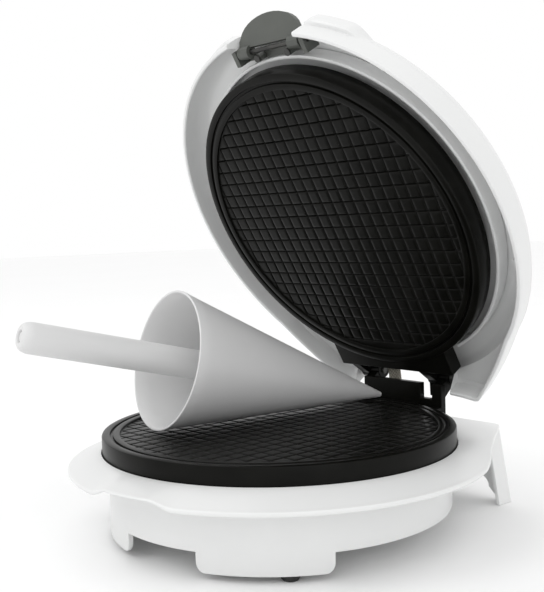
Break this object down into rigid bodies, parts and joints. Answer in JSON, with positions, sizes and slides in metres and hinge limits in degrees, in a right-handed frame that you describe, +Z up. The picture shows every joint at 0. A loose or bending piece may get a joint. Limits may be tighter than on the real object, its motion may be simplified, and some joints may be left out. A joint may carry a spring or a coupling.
{
  "type": "waffle cone maker",
  "caption": "Clamshell waffle cone maker with hinged cast baking plates in moulded shells, a front latch and a loose cone rolling form with a handle.",
  "frame": {"origin": "centre of the box of the whole machine, on the surface it stands on", "axes": "+Z up, hinge line along X at +Y, front with the latch towards -Y, with the lid standing open"},
  "size_m": [0.2324, 0.2464, 0.2738],
  "materials": {
    "white_plastic": "white moulded plastic, semi-gloss",
    "cast_plate": "black non-stick coating on a cast plate",
    "steel": "bright steel",
    "tin": "plain sheet",
    "grey_plastic": "dark grey moulded plastic",
    "rubber": "black rubber",
    "roller_plastic": "off-white satin plastic",
    "braid": "heat-proof woven sleeve",
    "ceramic": "glazed ceramic",
    "red_lens": "red lens",
    "green_lens": "green lens"
  },
  "bodies": {
    "base": {"base_shell": "white_plastic", "base_cover": "white_plastic", "rubber_foot_left": "rubber", "rubber_foot_right": "rubber", "lower_plate": "cast_plate", "lower_heater": "steel", "lower_reflector": "tin", "base_thermostat": "ceramic", "thermal_fuse": "steel", "terminal_block": "ceramic", "cord_gland": "rubber", "hinge_pin_left": "steel", "hinge_pin_right": "steel", "plate_screw_1": "steel", "plate_screw_2": "steel", "plate_screw_3": "steel", "cover_screw_1": "steel", "cover_screw_2": "steel", "cover_screw_3": "steel", "cover_screw_4": "steel", "wire_sleeve": "braid"},
    "lid": {"lid_shell": "white_plastic", "lid_liner": "white_plastic", "upper_plate": "cast_plate", "upper_heater": "steel", "upper_reflector": "tin", "plate_stud_1": "steel", "plate_stud_2": "steel", "plate_stud_3": "steel", "pilot_lens_red": "red_lens", "pilot_lens_green": "green_lens", "latch_carrier": "grey_plastic", "latch_screw_left": "steel", "latch_screw_right": "steel", "latch_pin": "steel"},
    "latch": {"latch_lever": "grey_plastic"},
    "roller": {"roller_cone": "roller_plastic", "roller_handle": "roller_plastic", "roller_plug": "roller_plastic"}
  },
  "joints": [
    {"name": "lid_hinge", "type": "hinge", "parent": "base", "child": "lid", "pos_m": [0, 0.11674, 0.0689], "axis": [1, 0, 0], "range_deg": [0, 59.5], "deforming": ["wire_sleeve"]},
    {"name": "latch_pivot", "type": "hinge", "parent": "lid", "child": "latch", "pos_m": [0.004, 0.0019, 0.25577], "axis": [1, 0, 0], "range_deg": [0, 110]},
    {"name": "roller_slide", "type": "slide", "parent": "base", "child": "roller", "axis": [-0.1762, -0.9843, 0], "range_m": [0, 0.25]}
  ],
  "couplings": [
    {"joint": "roller_slide", "follows": "lid_hinge", "m_per_rad": 0.24}
  ]
}
